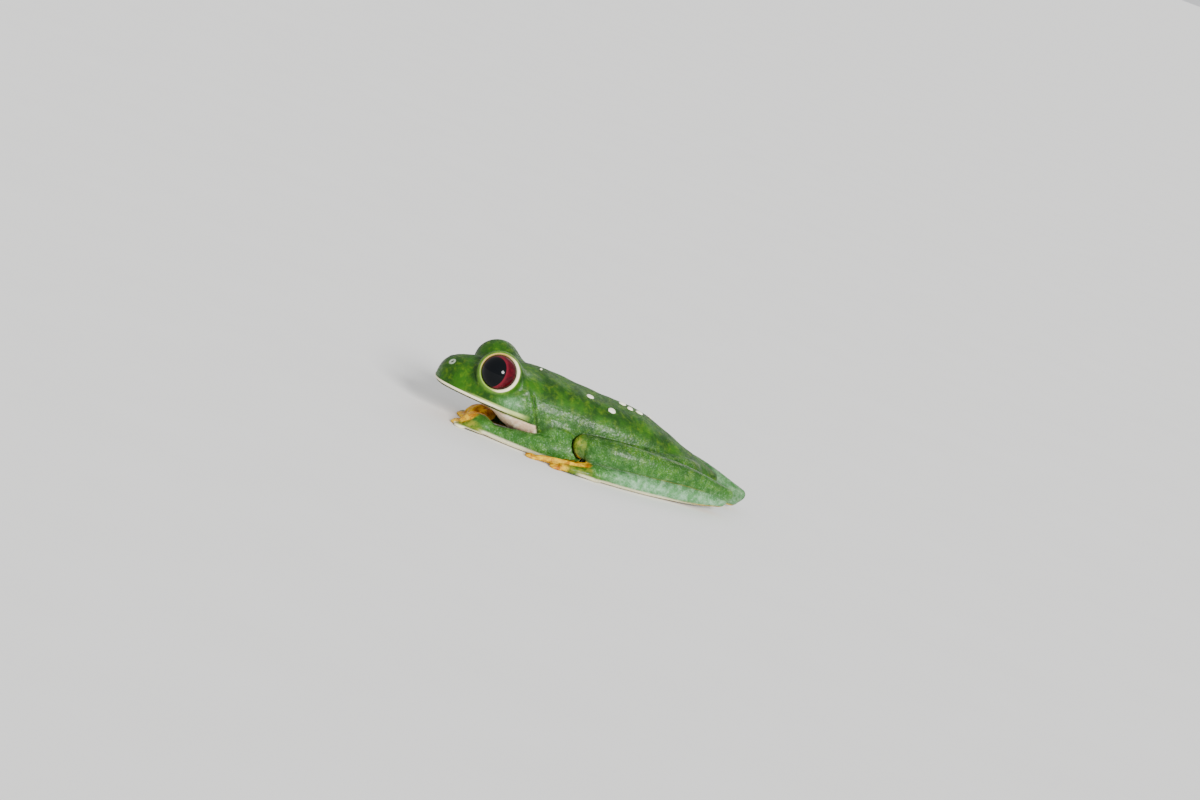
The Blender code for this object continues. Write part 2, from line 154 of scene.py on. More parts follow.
# Mouth
LIP_LEVEL = 5.75  # of the slit of the mouth at the snout
LIP_DROP = 1.7  # degrees, down towards the corner of the mouth
MOUTH_END = 17.0
SLIT_DEPTH = 0.22
SLIT_WIDTH = 0.16
LIP_THICKNESS = 0.1  # how far the lip stands out
LIP_SCALE = 20.0  # the length that the colours of the lip are placed along
JAW_SET_BACK = 0.3

# The fold behind the cheek
NECK_POINT = (0.0, 17.5, 7.5)
NECK_SLANT = 26.0  # degrees, its top further forward
NECK_FOLD_DEPTH = 0.3
NECK_FOLD_WIDTH = 0.22

SNOUT_ROUNDING = (1.2, 3.5)  # mm: fully rounded in front of the first, and not behind the second
SNOUT_ROUNDS = 14  # of smoothing, with cells of ROUNDS_CELL

# ---- the grid of distances

VOXEL = 0.13  # mm
ROUNDS_CELL = 0.15  # mm: smaller cells need more rounds of smoothing for the same spread
REACH = 2.4  # distances are true this near to a surface
LOW = np.floor(np.array((-15.6, -1.2, -1.2)) / VOXEL).astype(int)  # the grid's first cell
CELLS = np.ceil(np.array((31.2, 62.4, 17.1)) / VOXEL).astype(int)

# Fillets between shapes: a larger one hides a joint, a smaller one leaves a crease.
BROW_FILLET = 1.5
CREASE_FILLET = 0.3
DIGIT_FILLETS = (1.1, 3.0, 0.35)  # where a digit starts, how far that reaches, and elsewhere
WEB_THICKNESS = 0.22  # of the skin between the digits, halved
WEB_FILLET = 0.5
WEB_REACH = 0.45  # how far along the digits it lies
WEB_WIDTH = 0.45  # half its width, as a part of the distance between the digits
# Each part of a limb: the fillet where it starts, how far that reaches, and the fillet elsewhere.
LIMB_FILLETS = {
    "upper_arm": (1.2, 2.5, 0.3),
    "forearm": (1.2, 3.5, 0.9),
    "thigh": (1.0, 2.5, 0.3),
    "shank": (1.8, 3.0, 0.4),
    "tarsus": (1.3, 2.5, 0.25),
}
KNEE_GAP = 0.45  # in front of the knee, where it stands clear of the arm
FLESH_FILLET = 1.8  # between the trunk and the limbs, where they lie under its skin


def between(rows, steps):
    """The rows with a smooth curve through them, at `steps` rows to each stretch."""
    table = np.array(rows, float)
    ends = np.vstack([2 * table[0] - table[1], table, 2 * table[-1] - table[-2]])
    smooth = []
    for a, b, c, d in zip(ends, ends[1:], ends[2:], ends[3:]):
        for t in np.arange(steps) / steps:
            curve = 2 * b + (c - a) * t + (2 * a - 5 * b + 4 * c - d) * t**2
            smooth.append((curve + (3 * b - a - 3 * c + d) * t**3) / 2)
    smooth.append(table[-1])
    return np.array(smooth)


def closed_field(rings, first_pole, last_pole):
    """Distances to a closed skin over a row of rings: the first cell, and the values from there on."""
    count, around = rings.shape[:2]
    points = np.vstack([rings.reshape(-1, 3), first_pole, last_pole])
    turn = np.arange(around)
    after = (turn + 1) % around
    band = np.stack([turn, after, after + around, turn + around], 1)
    quads = [band + i * around for i in range(count - 1)]
    last_ring = (count - 1) * around
    tips = [
        np.stack([after, turn, np.full(around, count * around)], 1),
        np.stack([turn + last_ring, after + last_ring, np.full(around, count * around + 1)], 1),
    ]
    grid = openvdb.FloatGrid.createLevelSetFromPolygons(
        points.astype(np.float32),
        triangles=np.vstack(tips).astype(np.uint32),
        quads=np.vstack(quads).astype(np.uint32),
        transform=openvdb.createLinearTransform(voxelSize=VOXEL),
        halfWidth=REACH / VOXEL,
    )
    low, high = grid.evalActiveVoxelBoundingBox()
    values = np.full([b - a + 1 for a, b in zip(low, high)], REACH, np.float32)
    grid.copyToArray(values, ijk=low)
    return np.array(low), values


def with_round_ends(count, steps):
    """Each ring of a shape with round ends: its row, and how far past that row, from -1 to 1."""
    end = np.sin(np.linspace(0, math.pi / 2, steps))[1:-1]
    rings = [(0, -part) for part in end[::-1]]
    rings += [(i, 0.0) for i in range(count)]
    return rings + [(-1, part) for part in end]


def tube(stations, sides=28, steps=6):
    """Distances to a limb: elliptical rings along a smooth line, with round ends."""
    rows = between(stations, steps)
    centres, sizes = rows[:, :3], rows[:, 3:]
    along = np.gradient(centres, axis=0)
    along /= np.linalg.norm(along, axis=1)[:, None]
    side = np.cross(along, (0, 0, 1.0))
    side /= np.linalg.norm(side, axis=1)[:, None]
    up = np.cross(side, along)
    turns = 2 * math.pi * np.arange(sides) / sides
    rings = []
    for i, past in with_round_ends(len(rows), 8):
        width, height = sizes[i] * math.sqrt(1 - past * past)
        centre = centres[i] + along[i] * sizes[i].min() * past
        level = centre + width * np.outer(np.cos(turns), side[i])
        rings.append(level + height * np.outer(np.sin(turns), up[i]))
    tips = [centres[i] + along[i] * sizes[i].min() * past for i, past in ((0, -1), (-1, 1))]
    return closed_field(np.array(rings), *tips)


def power(value, exponent):
    """A power that keeps its sign."""
    return np.sign(value) * np.abs(value) ** exponent


def body(sides=96, steps=6):
    """Distances to head and trunk, whose cross-sections are fuller than ellipses."""
    rows = between(BODY, steps)
    turns = 2 * math.pi * np.arange(sides) / sides
    c, s = np.cos(turns), np.sin(turns)
    rings = []
    for i, past in with_round_ends(len(rows), 9):
        y, half_width, top, bottom, middle = rows[i]
        scale = math.sqrt(1 - past * past)
        neck = min(max(y / NECK, 0.0), 1.0)
        lower = JAW_FULLNESS + (BELLY_FULLNESS - JAW_FULLNESS) * neck
        fullness = np.where(s >= 0, UPPER_FULLNESS, lower)
        height = np.where(s >= 0, top - middle, middle - bottom) * scale
        x = power(c, 2 / fullness) * half_width * scale
        z = middle + power(s, 2 / fullness) * height
        y += past * (SNOUT_CAP if past < 0 else RUMP_CAP)
        rings.append(np.stack([x, np.full(sides, y), z], 1))
    poles = [
        (0.0, row[0] + past, (row[2] + row[3]) / 2)
        for row, past in ((rows[0], -SNOUT_CAP), (rows[-1], RUMP_CAP))
    ]
    return closed_field(np.array(rings), *poles)


def window(low, shape):
    """Coordinates in mm of a block of cells, as three arrays that broadcast."""
    return np.ix_(*[(np.arange(n) + first) * VOXEL for first, n in zip(low, shape)])


def block_between(field, low_corner, high_corner):
    """The block of the field between two corners in mm, and its coordinates."""
    first = np.maximum(np.floor(np.array(low_corner) / VOXEL).astype(int), LOW)
    last = np.minimum(np.ceil(np.array(high_corner) / VOXEL).astype(int), LOW + CELLS - 1)
    block = field[tuple(slice(a, b + 1) for a, b in zip(first - LOW, last - LOW))]
    return block, window(first, block.shape)


def block_round(field, centre, reach):
    """The block of the field that reaches so far round a place, and its coordinates."""
    return block_between(field, np.array(centre) - reach, np.array(centre) + reach)


def soft_min(a, b, radius):
    """The lesser of two distances, with a fillet where they are equal."""
    least = np.minimum(a, b)
    near = np.maximum(radius - np.abs(a - b), 0.0)
    return np.where(least < REACH, least - near * near / (4 * radius), REACH)


def blend_in(field, part, fillet):
    """Joins a shape to the field. `fillet` is a radius, or a function of x, y and z."""
    low, values = part
    first = np.maximum(low, LOW)
    last = np.minimum(low + values.shape, LOW + CELLS)
    inside = field[tuple(slice(a, b) for a, b in zip(first - LOW, last - LOW))]
    values = values[tuple(slice(a, b) for a, b in zip(first - low, last - low))]
    radius = fillet(*window(first, values.shape)) if callable(fillet) else fillet
    inside[...] = soft_min(inside, values, radius)


def empty_field():
    return np.full(CELLS, REACH, np.float32)


def mirrored(rows):
    """Stations of the right side."""
    return [(-row[0], *row[1:]) for row in rows]


def leaned(rows, front, front_shift, rear, rear_shift):
    """Stations moved by one shift at y = `front` and another at y = `rear`, in proportion between."""
    moved = []
    for row in rows:
        part = min(max((row[1] - front) / (rear - front), 0.0), 1.0)
        shift = [a + (b - a) * part for a, b in zip(front_shift, rear_shift)]
        moved.append((*[value + step for value, step in zip(row[:3], shift)], *row[3:]))
    return moved


def digits(rows, discs):
    """Fingers or toes with the round pad at the tip."""
    height, half_width, half_thickness = DISC
    made = []
    for row, (x, y) in zip(rows, discs):
        neck = row[-1]
        near = ((x + neck[0]) / 2, (y + neck[1]) / 2, height, half_width * DISC_NECK, half_thickness)
        made.append([*row, near, (x, y, height, half_width, half_thickness)])
    return made


def web(first, second):
    """The skin between two neighbouring digits, as a very flat tube."""
    tables = [between(rows, 6) for rows in (first, second)]
    rows = []
    for a, b in zip(*[table[: int(len(table) * WEB_REACH) : 3] for table in tables]):
        centre = (a[:3] + b[:3]) / 2
        half_width = max(math.dist(a[:2], b[:2]) * WEB_WIDTH, WEB_THICKNESS)
        rows.append((*centre[:2], min(centre[2], 1.0), half_width, WEB_THICKNESS))
    return rows


def limb_tables(side):
    """Every limb's stations on one side, by name: a list of tubes for each."""
    tables = {
        "upper_arm": [UPPER_ARM],
        "forearm": [[*FOREARM, *PALM[1:]]],
        "hand": digits(FINGERS, FINGER_DISCS),
        "thigh": [THIGH],
        "shank": [SHANK],
        "tarsus": [[*TARSUS, *SOLE[1:]]],
        "foot": digits(TOES, TOE_DISCS),
    }
    if side == "left":
        return tables
    still = (0.0, 0.0, 0.0)
    shoulder, elbow = UPPER_ARM[0][1], UPPER_ARM[-1][1]
    arm = (shoulder, RIGHT_WRIST, elbow, RIGHT_ELBOW)
    leg = (SHANK[0][1], RIGHT_KNEE, SHANK[-1][1], RIGHT_HEEL)
    shifts = {
        "upper_arm": (shoulder, still, elbow, RIGHT_ELBOW),
        "forearm": arm,
        "hand": arm,
        "thigh": (THIGH[-1][1], RIGHT_KNEE, THIGH[0][1], still),
    }
    return {
        name: [mirrored(leaned(rows, *shifts.get(name, leg))) for rows in tubes]
        for name, tubes in tables.items()
    }


def joint_fillet(place, at_joint, spread, elsewhere):
    """A fillet that is wide near a joint and narrow elsewhere."""

    def radius(x, y, z):
        apart = (x - place[0]) ** 2 + (y - place[1]) ** 2 + (z - place[2]) ** 2
        return elsewhere + (at_joint - elsewhere) * np.exp(-apart / spread**2)

    return radius


def rise(value, start, end):
    """A smooth step: 0 before `start` and 1 after `end`."""
    part = np.clip((value - start) / (end - start), 0.0, 1.0)
    return part * part * (3 - 2 * part)


def fall(value, start, end):
    """A smooth step down: 1 before `start` and 0 after `end`."""
    return 1 - rise(value, start, end)


def shoulder_fillet(x, y, z):
    """The fillet between the trunk and an arm: wide over the shoulder, elsewhere a crease."""
    shoulder = rise(y, 18.0, 20.0) * fall(y, 24.0, 27.0) * rise(z, 3.0, 4.5)
    return CREASE_FILLET + (FLESH_FILLET - CREASE_FILLET) * shoulder


def hip_fillet(x, y, z):
    """The fillet between the trunk and a leg: wide over the hips, elsewhere a crease."""
    hips = rise(y, 40.0, 46.0) * fall(np.abs(x), 5.5, 7.0) * rise(z, 1.5, 3.0)
    return CREASE_FILLET + (FLESH_FILLET - CREASE_FILLET) * hips


def add_limbs(field, side):
    """Joins the limbs of one side to the field, and returns their own fields by name."""
    tables = limb_tables(side)
    fields = {}
    arm = ("upper_arm", "forearm", "hand")
    leg = ("thigh", "shank", "tarsus", "foot")
    for chain, trunk_fillet in ((arm, shoulder_fillet), (leg, hip_fillet)):
        limb = empty_field()
        for name in chain:
            for i, rows in enumerate(tables[name], 1):
                part = fields[f"{name}_{side}_{i}"] = tube(rows)
                fillet = joint_fillet(rows[0][:3], *LIMB_FILLETS.get(name, DIGIT_FILLETS))
                blend_in(limb, part, fillet)
            if name in ("hand", "foot"):
                for i, rows in enumerate(tables[name], 1):
                    add_pad(*block_round(limb, rows[-1][:3], 2.0), rows)
                    low, values = fields[f"{name}_{side}_{i}"]
                    add_pad(values, window(low, values.shape), rows)
                for i, pair in enumerate(zip(tables[name], tables[name][1:]), 1):
                    fields[f"web_of_{name}_{side}_{i}"] = tube(web(*pair))
                    blend_in(limb, fields[f"web_of_{name}_{side}_{i}"], WEB_FILLET)
        if chain is leg:
            clear_knee(field, limb, *tables["thigh"][0][-1][:3])
        blend_in(field, (LOW, limb), trunk_fillet)
    return fields


def add_pad(block, place, rows):
    """A round, flattened pad at the tip of a digit."""
    x, y, z, _, half_thickness = rows[-1]
    level = (place[0] - x) ** 2 + (place[1] - y) ** 2
    upright = (place[2] - z) ** 2
    size = np.sqrt(level / PAD_RADIUS**2 + upright / half_thickness**2)
    slope = np.sqrt(level / PAD_RADIUS**4 + upright / half_thickness**4)
    block[...] = soft_min(block, size * (size - 1) / np.maximum(slope, 0.01), PAD_FILLET)


def clear_knee(field, leg, x, y, z):
    """Cuts the arm clear of the front of a knee."""
    corners = ((x - 5.0, y - 5.0, z - 4.0), (x + 5.0, y + 2.0, z + 4.0))
    block, (px, py, pz) = block_between(field, *corners)
    knee = block_between(leg, *corners)[0]
    outside = rise((px - x) * math.copysign(1.0, x), -2.2, -0.6)
    there = outside * fall(py - y, -0.8, 0.6) * fall(pz - z, 1.0, 2.2)
    block[...] = np.maximum(block, np.where(there > 0, KNEE_GAP * there - knee, -REACH))


def eye_axes(side):
    """The middle of one eye and three directions: up across the lids, back across them, and out."""
    forward, up = math.radians(GAZE_FORWARD), math.radians(GAZE_UP)
    level = math.cos(up)
    out = Vector((side * level * math.cos(forward), -level * math.sin(forward), math.sin(up)))
    back = out.cross(Vector((0, 0, 1))).normalized() * -side
    return Vector((side * EYE_CENTRE[0], *EYE_CENTRE[1:])), out.cross(back) * side, back, out


def add_eye(field, side):
    """Raises the lids round one eye and opens them."""
    centre, up, back, out = eye_axes(side)
    block, (x, y, z) = block_round(field, centre, LID_RADIUS + REACH)
    dx, dy, dz = x - centre.x, y - centre.y, z - centre.z
    height = dx * out.x + dy * out.y + dz * out.z
    apart = np.sqrt(dx * dx + dy * dy + dz * dz)
    across = np.sqrt(np.maximum(apart * apart - height * height, 0.0))
    fillet = LID_FILLETS[0] + (LID_FILLETS[1] - LID_FILLETS[0]) * rise(y - centre.y, -1.0, 3.0)
    joined = soft_min(block, apart - LID_RADIUS, fillet)
    slope = math.radians(LID_SLOPE)
    past_lid = math.cos(slope) * (height - LID_LEVEL) - math.sin(slope) * (across - RIM_RADIUS)
    joined = -soft_min(-joined, -past_lid, 0.5)
    rim = np.hypot(across - RIM_RADIUS, height - LID_LEVEL) - RIM_THICKNESS
    block[...] = soft_min(joined, rim, 0.35)


def smooth(block, rounds):
    """Blurs a block of the field in place, as that many rounds would with cells of ROUNDS_CELL."""
    for _ in range(int(rounds * (ROUNDS_CELL / VOXEL) ** 2)):
        for axis in range(3):
            line = np.moveaxis(block, axis, 0)
            line[1:-1] = (line[:-2] + 2 * line[1:-1] + line[2:]) / 4


def round_off_snout(field):
    """Takes the edges off the blunt front of the snout."""
    corners = ((-6.0, -1.2, 3.0), (6.0, SNOUT_ROUNDING[1] + 1.0, 12.0))
    block, place = block_between(field, *corners)
    blurred = block.copy()
    smooth(blurred, SNOUT_ROUNDS)
    block += (blurred - block) * fall(place[1], *SNOUT_ROUNDING)


def add_mouth(field):
    """Carves the slit of the mouth and sets the lower jaw back under the lip."""
    block, (x, y, z) = block_between(field, (-10.0, -1.2, 2.0), (10.0, MOUTH_END + 2.0, 8.0))
    above = lip_height(y, z)
    there = fall(y, MOUTH_END - 3.0, MOUTH_END)
    jaw = JAW_SET_BACK * fall(above, -0.5, -0.1) * fall(y, 8.0, 14.0)
    slit = SLIT_DEPTH * np.exp(-((above / SLIT_WIDTH) ** 2)) * there
    lip = LIP_THICKNESS * rise(above, 0.05, 0.25) * fall(above, 0.5, 0.9) * there
    block += jaw + slit - lip


def lip_height(y, z):
    """How far a place lies above the slit of the mouth."""
    drop = math.radians(LIP_DROP)
    return (z - LIP_LEVEL) * math.cos(drop) + y * math.sin(drop)


def behind_neck(y, z):
    """How far a place lies behind the fold between the cheek and the neck."""
    slant = math.radians(NECK_SLANT)
    return (y - NECK_POINT[1]) * math.cos(slant) + (z - NECK_POINT[2]) * math.sin(slant)


def add_neck_fold(field):
    """Carves the upright fold behind each cheek."""
    block, (x, y, z) = block_between(field, (-10.0, 12.0, 2.0), (10.0, 22.0, 12.5))
    behind = behind_neck(y, z)
    line = np.exp(-((behind / NECK_FOLD_WIDTH) ** 2))
    part = rise(np.abs(x), 4.0, 6.5) * rise(z, 2.5, 4.5) * fall(z, 9.0, 10.5)
    swell = np.exp(-(((behind + 0.7) / 0.6) ** 2)) * 0.08
    block += (NECK_FOLD_DEPTH * line - swell) * part


def add_nostril(field, side):
    """A pit in a low round rim."""
    centre = (side * NOSTRIL[0], *NOSTRIL[1:])
    block, (x, y, z) = block_round(field, centre, 2.0)
    apart = np.sqrt((x - centre[0]) ** 2 + (y - centre[1]) ** 2 + (z - centre[2]) ** 2)
    block -= NOSTRIL_RIM * np.exp(-(((apart - NOSTRIL_SIZE - 0.12) / 0.22) ** 2))
    block[...] = -soft_min(-block, apart - NOSTRIL_SIZE, 0.12)


def surface(field):
    """The mesh of points in mm and quads where the field is zero."""
    grid = openvdb.FloatGrid(REACH)
    grid.copyFromArray(field, ijk=tuple(int(v) for v in LOW))
    grid.transform = openvdb.createLinearTransform(voxelSize=VOXEL)
    return grid.convertToQuads(0.0)


def frog_field():
    """Distances to the whole frog, and the fields of its parts by name."""
    parts = {"body": body()}
    field = empty_field()
    blend_in(field, parts["body"], CREASE_FILLET)
    for rows in (BROW, mirrored(BROW)):
        blend_in(field, tube(rows), BROW_FILLET)
    round_off_snout(field)
    for side in (1, -1):
        add_eye(field, side)
        add_nostril(field, side)
    add_mouth(field)
    add_neck_fold(field)
    for side in ("left", "right"):
        parts.update(add_limbs(field, side))
    np.maximum(field, -window(LOW, CELLS)[2], out=field)
    return field, parts


# ---- zones and relief of the skin

PART_EDGE = (0.12, 0.47)  # mm from a part: wholly on it, and off it
TOE_ROOT = 30.4  # how far back the toes leave the left sole
HOLLOW_ROUNDS = 10  # of smoothing, which show how hollow a place is
HOLLOW_DEPTH = 0.25

# White spots on the back: x, y, half length along the back, half width.
SPOTS = [
    (3.8, 26.4, 0.74, 0.68),
    (5.3, 30.7, 0.74, 0.68),
    (0.6, 32.8, 0.74, 0.74),
    (1.6, 34.2, 0.62, 0.60),
    (1.1, 36.0, 0.76, 0.68),
    (1.5, 17.0, 0.28, 0.28),
    (-4.9, 28.1, 0.62, 0.56),
    (-3.4, 38.3, 0.66, 0.56),
]
SPOT_HEIGHT = 0.26

# The cheek's pale patch is partly painted highlight.
CHEEK = (8.3, 13.4, 7.4)  # the middle of the pale patch between the eye and the mouth
CHEEK_SIZE = (3.0, 2.4, 1.7)
EAR = (8.0, 14.9, 9.3)  # the middle of the ear drum
EAR_RADIUS = 1.0
EAR_RELIEF = 0.03  # how far its edge stands out and its middle lies in

GRAIN_PERIOD = 0.5  # mm between the grains of the skin
GRAIN_HEIGHTS = (0.018, 0.05)  # where the skin is smooth and where it is rough
WAVES = ((2.6, 0.13), (1.2, 0.06))  # low swells over the back: how long and how high


def blend_corners(part_way, values_at):
    """The values at the eight corners of each cell, blended."""
    total = np.zeros(len(part_way))
    for corner in np.ndindex(2, 2, 2):
        weight = np.prod(np.where(corner, part_way, 1 - part_way), axis=1)
        total += weight * values_at(corner)
    return total


def sample(part, points):
    """Distances from a shape at these points, between its cells."""
    low, values = part
    place = points / VOXEL - low
    first = np.floor(place).astype(int)
    inside = np.all((first >= 0) & (first < np.array(values.shape) - 1), axis=1)
    first, part_way = first[inside], (place - first)[inside]
    found = np.full(len(points), REACH)
    found[inside] = blend_corners(part_way, lambda corner: values[tuple((first + corner).T)])
    return found


def chance(cells, seed):
    """A number from 0 to 1 for each cell, always the same."""
    mixed = cells @ np.array((12.9898, 78.233, 37.719)) + seed * 17.31
    return np.modf(np.abs(np.sin(mixed)) * 43758.5453)[0]


def grains(points, period):
    """Rounded grains: 1 in the middle of each and 0 at its edge."""
    scaled = points / period
    home = np.floor(scaled)
    nearest = np.full(len(points), 9.0)
    for step in np.ndindex(3, 3, 3):
        cell = home + step - 1
        middle = cell + np.stack([0.15 + 0.7 * chance(cell, seed) for seed in (1, 2, 3)], 1)
        nearest = np.minimum(nearest, np.sum((scaled - middle) ** 2, axis=1))
    return np.clip(1 - nearest / 0.45, 0.0, 1.0)


def swells(points, period, seed):
    """Smooth random values from -1 to 1 that change over `period` mm."""
    scaled = points / period
    home = np.floor(scaled)
    ease = rise(scaled - home, 0.0, 1.0)
    return 2 * blend_corners(ease, lambda corner: chance(home + corner, seed)) - 1


class Places:
    """Points of the skin in mm, with where on the frog each one lies and which way it faces."""

    def __init__(self, points, normals, parts):
        self.points, self.normals = points, normals
        self.x, self.y, self.z = points.T
        self.left = self.x > 0
        self.mirrored = np.stack([np.abs(self.x), self.y, self.z], 1)
        self.leg_y = self.y - np.where(self.left, 0.0, RIGHT_KNEE[1])  # as on the left leg
        self.forward, self.up = -normals[:, 1], normals[:, 2]
        self.outward = np.where(self.left, 1.0, -1.0) * normals[:, 0]
        self.distance = {name: sample(part, points) for name, part in parts.items()}
        self.trunk = self.on("body")
        self.side_on = self.trunk * fall(self.up, 0.3, 0.75)
        self.arm = self.on("forearm", "upper_arm")
        self.shank = self.on("shank", "thigh")
        self.sole = self.on("tarsus")
        self.last_finger = self.on("hand_left_4", "hand_right_4")
        self.last_toe = self.on("foot_left_5", "foot_right_5")

    def on(self, *names):
        """Nearly 1 on the surface of any part whose name starts so, and 0 away from it."""
        near = [distance for name, distance in self.distance.items() if name.startswith(names)]
        return fall(np.minimum.reduce(near), *PART_EDGE)


def from_spots(at):
    """How far each point lies from the nearest white spot, as a part of the spot's size."""
    nearest = np.full(len(at.points), 9.0)
    for x, y, half_length, half_width in SPOTS:
        near = at.points[(np.hypot(at.x - x, at.y - y) < 0.4) & (at.up > 0)]
        middle = near[np.argmax(near[:, 2])]
        away = (at.points - middle) / (half_width, half_length, half_width)
        nearest = np.minimum(nearest, np.linalg.norm(away, axis=1))
    return nearest


def digit_names(part, count):
    """The names of the first few digits of both hands or feet."""
    return [f"{part}_{side}_{i}" for side in ("left", "right") for i in range(1, count + 1)]


# Used for the painted shade in the creases of the skin's colour.
def hollows(at, field):
    """1 deep in a crease, -1 on a ridge, and 0 where the skin is flat."""
    blurred = field.copy()
    smooth(blurred, HOLLOW_ROUNDS)
    return np.clip(-sample((LOW, blurred), at.points) / HOLLOW_DEPTH, -1.0, 1.0)


def lid_zones(at):
    """Distance in mm from the lids' inner edge, and how far up and back of the eye a point lies."""
    found = []
    for side in (1, -1):
        centre, up, back, out = (np.array(axis) for axis in eye_axes(side))
        away = at.points - centre
        height = away @ out
        across = np.sqrt(np.maximum((away * away).sum(axis=1) - height**2, 0.0))
        from_edge = np.hypot(across - (RIM_RADIUS - RIM_THICKNESS), np.minimum(height - LID_LEVEL, 0.0))
        found.append((from_edge, away @ up / RIM_RADIUS, away @ back / RIM_RADIUS))
    return dict(zip(("rim", "lid_up", "lid_back"), np.where(at.left, *found)))


def orange_zone(at):
    """The inner digits, and the sides of the limbs that are hidden in this pose."""
    fingers = at.on("web_of_hand", *digit_names("hand", 3)) * (1 - 0.8 * at.last_finger)
    toes = at.on("web_of_foot", *digit_names("foot", 4)) * (1 - at.last_toe)
    toes *= fall(at.leg_y - TOE_ROOT - 0.8 * swells(at.points, 1.2, 6), -1.4, 1.0)
    toe_tip = at.last_toe * fall(at.leg_y, 24.6, 26.4)
    inner = np.maximum(at.sole, at.on("shank")) * fall(at.outward, -0.9, -0.2)
    inner *= fall(at.z, 2.2, 3.4) * fall(at.y, 42.0, 46.0)
    under = np.maximum(at.sole, at.arm) * fall(at.up, -0.9, -0.5)
    return np.maximum.reduce([fingers, toes, toe_tip, inner, under])


def cream_edges(at):
    """The cream line along the outside of the arm, and the one along the sole and last toe."""
    facing = rise(at.outward, -0.2, 0.3)
    arm = at.arm * fall(at.z, 0.75, 1.25)
    finger = at.last_finger * fall(at.z, 0.35, 0.7)
    sole = np.maximum(at.sole, at.last_toe) * fall(at.z, 0.55, 0.95)
    sole *= rise(at.leg_y, 26.8, 28.6)
    return np.maximum(arm, finger) * facing, sole * facing


def knee_zone(at):
    """The front of each knee."""
    from_knee = at.leg_y + 0.8 * swells(at.points, 1.3, 8) - THIGH[-1][1]
    knee = at.shank * fall(from_knee, -2.0, 1.0)
    return knee * rise(at.z, 1.2, 2.0) * rise(at.forward, 0.05, 0.7)


def pale_and_sheen_zones(at, face, cheek):
    """How pale the green is, and how bluish: partly the limbs' paler skin and partly painted highlight.
    """
    z = at.z
    sole = at.sole * (1 - 0.5 * rise(z + 0.25 * swells(at.points, 1.6, 9), 1.9, 3.2))
    pale = [
        sole * np.where(at.left, 1.0, 0.6),
        0.45 * at.shank * fall(z, 4.5, 7.0),
        0.55 * at.arm,
        0.2 * at.side_on * fall(z, 7.0, 10.0) * (1 - face),
        0.9 * cheek,
    ]
    blue = [
        at.sole * rise(at.y, 30.0, 38.0),
        0.6 * at.shank * fall(z, 2.5, 4.8),
        at.shank * ~at.left * rise(at.y, 48.0, 53.0),
        0.6 * cheek,
    ]
    return {"pale": np.maximum.reduce(pale), "blue": np.maximum.reduce(blue)}


def grain_and_sparkle_zone(at, face, cheek, orange, rim):
    """Where the skin is rough: its grains stand higher, and painted highlights fleck its colour."""
    wet = [
        0.55 * at.shank,
        0.75 * at.arm,
        at.sole,
        0.58 * at.side_on * fall(at.z, 8.5, 11.0),
        cheek,
    ]
    return np.maximum.reduce(wet) * (1 - face) * (1 - orange) * rise(rim, 0.6, 2.2)


def skin_zones(at, field):
    """The zones of the skin by name: 0 to 1, or a distance in mm or from -1 to 1."""
    y, z, trunk = at.y, at.z, at.trunk
    above = lip_height(y, z)
    behind = behind_neck(y, z)
    face = fall(behind, -1.5, 0.5) * fall(y, 8.0, 13.0)
    cheek = trunk * np.exp(-np.sum(((at.mirrored - CHEEK) / CHEEK_SIZE) ** 2, axis=1))
    belly = trunk * fall(z + 0.12 * swells(at.points, 1.7, 5), 2.2, 3.4) * rise(y, 12.0, 19.0)
    flank = trunk * rise(y, 27.0, 29.0) * fall(y, 40.0, 43.0)
    arm_edge, sole_edge = cream_edges(at)
    orange = orange_zone(at)
    lids = lid_zones(at)
    outer_digits = 0.7 * at.last_finger + 0.6 * at.last_toe
    return {
        **lids,
        **pale_and_sheen_zones(at, face, cheek),
        "back": rise(at.up, 0.25, 0.75) * trunk,
        # Rough skin: higher grains, and painted highlight flecks in the colour.
        "wet": grain_and_sparkle_zone(at, face, cheek, orange, lids["rim"]),
        "cream": np.clip(np.maximum.reduce([belly, arm_edge, sole_edge]), 0.0, 1.0),
        "throat": trunk * fall(above, -0.35, -0.15) * fall(behind, -0.4, 0.1),
        "orange": orange * (1 - np.maximum(sole_edge, 0.0)),
        "lime": np.clip(knee_zone(at) + outer_digits, 0.0, 1.0),
        "flank": flank * (rise(z, 1.6, 2.8) * fall(z, 4.6, 5.6)),
        "above_lip": np.where(trunk > 0.5, above, 5.0),
        "along": y,
        "spot": from_spots(at),
        "nostril": np.linalg.norm(at.mirrored - NOSTRIL, axis=1),
        # How hollow a place is: it sets the painted shade in the creases.
        "hollow": hollows(at, field),
    }


def raised(at, zones):
    """The points, moved to raise grains, swells, spots and the edge of the ear drum."""
    fine, coarse = GRAIN_HEIGHTS
    height = grains(at.points, GRAIN_PERIOD) * (fine + (coarse - fine) * zones["wet"])
    for i, (period, size) in enumerate(WAVES):
        height += size * swells(at.points, period, i) * (0.25 + 0.75 * zones["back"])
    height *= rise(zones["rim"], 0.7, 1.5) * rise(zones["nostril"], 0.4, 0.9)
    height *= rise(at.z, 0.0, 0.4)
    height += SPOT_HEIGHT * fall(zones["spot"], 0.65, 1.05)
    from_ear = np.linalg.norm(at.mirrored - EAR, axis=1)
    edge = np.exp(-(((from_ear - EAR_RADIUS) / 0.25) ** 2))
    height += EAR_RELIEF * (edge - fall(from_ear, 0.6, 1.0))
    return at.points + at.normals * height[:, None]


def to_frame(points):
    """Moves points in mm from the tip of the snout into the frame's metres."""
    low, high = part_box("eye_left")
    return points * MM + (np.array((low + high) / 2) - np.array(EYE_CENTRE) * MM)


def add_object(name, data):
    """An object with these data, in the scene."""
    made = bpy.data.objects.new(name, data)
    bpy.context.scene.collection.objects.link(made)
    return made


